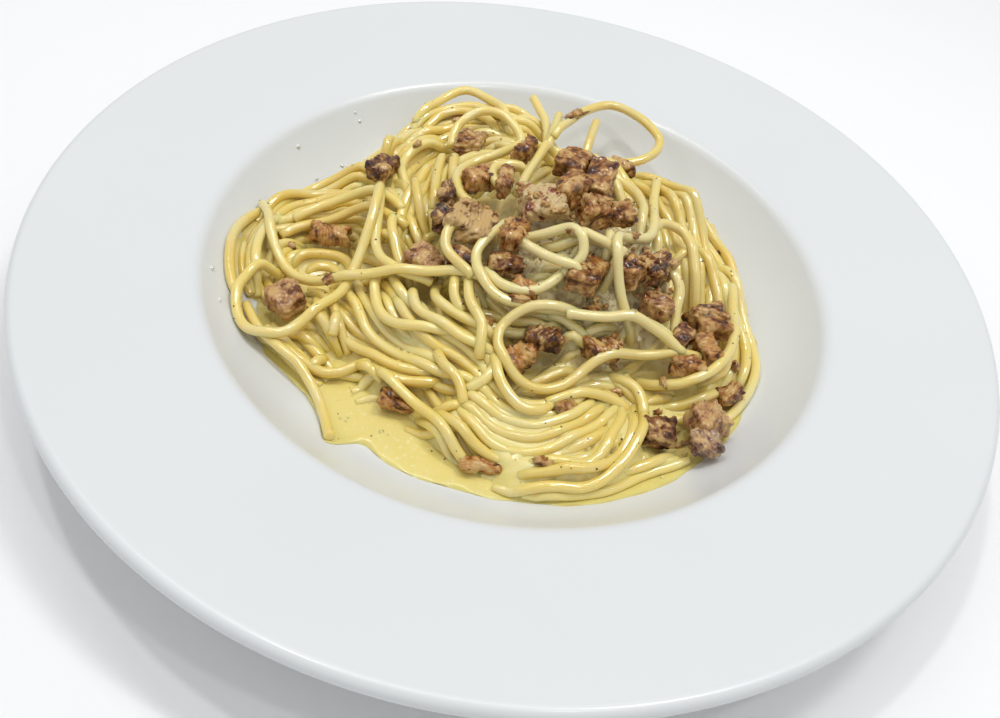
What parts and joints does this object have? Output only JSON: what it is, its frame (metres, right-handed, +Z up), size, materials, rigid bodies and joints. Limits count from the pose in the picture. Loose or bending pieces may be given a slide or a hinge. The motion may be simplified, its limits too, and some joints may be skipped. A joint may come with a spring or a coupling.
{
  "type": "spaghetti carbonara",
  "caption": "Spaghetti carbonara in cream sauce with browned bacon pieces, heaped in the deep well of a round white plate with a wide rim.",
  "frame": {"origin": "centre of the plate's foot ring, on the surface that it stands on", "axes": "+Z up, -Y towards the diner, +X to the diner's right"},
  "size_m": [0.2694, 0.2694, 0.0462],
  "materials": {
    "china": "glossy white glaze",
    "sauce": "smooth glossy cream sauce",
    "pasta": "cooked pasta with a glossy coat of sauce",
    "bacon": "browned meat with paler fat, slightly greasy"
  },
  "bodies": {
    "root": {"plate": "china", "sauce": "sauce", "spaghetti": "pasta", "bacon_01": "bacon", "bacon_02": "bacon", "bacon_03": "bacon", "bacon_04": "bacon", "bacon_05": "bacon", "bacon_06": "bacon", "bacon_07": "bacon", "bacon_08": "bacon", "bacon_09": "bacon", "bacon_10": "bacon", "bacon_11": "bacon", "bacon_12": "bacon", "bacon_13": "bacon", "bacon_14": "bacon", "bacon_15": "bacon", "bacon_16": "bacon", "bacon_17": "bacon", "bacon_18": "bacon", "bacon_19": "bacon", "bacon_20": "bacon", "bacon_21": "bacon", "bacon_22": "bacon", "bacon_23": "bacon", "bacon_24": "bacon", "bacon_25": "bacon", "bacon_26": "bacon", "bacon_27": "bacon", "bacon_28": "bacon", "bacon_29": "bacon", "bacon_30": "bacon", "bacon_31": "bacon", "bacon_32": "bacon", "bacon_33": "bacon", "bacon_34": "bacon", "bacon_35": "bacon", "bacon_36": "bacon", "bacon_37": "bacon", "bacon_38": "bacon", "bacon_39": "bacon", "bacon_40": "bacon"}
  },
  "joints": []
}
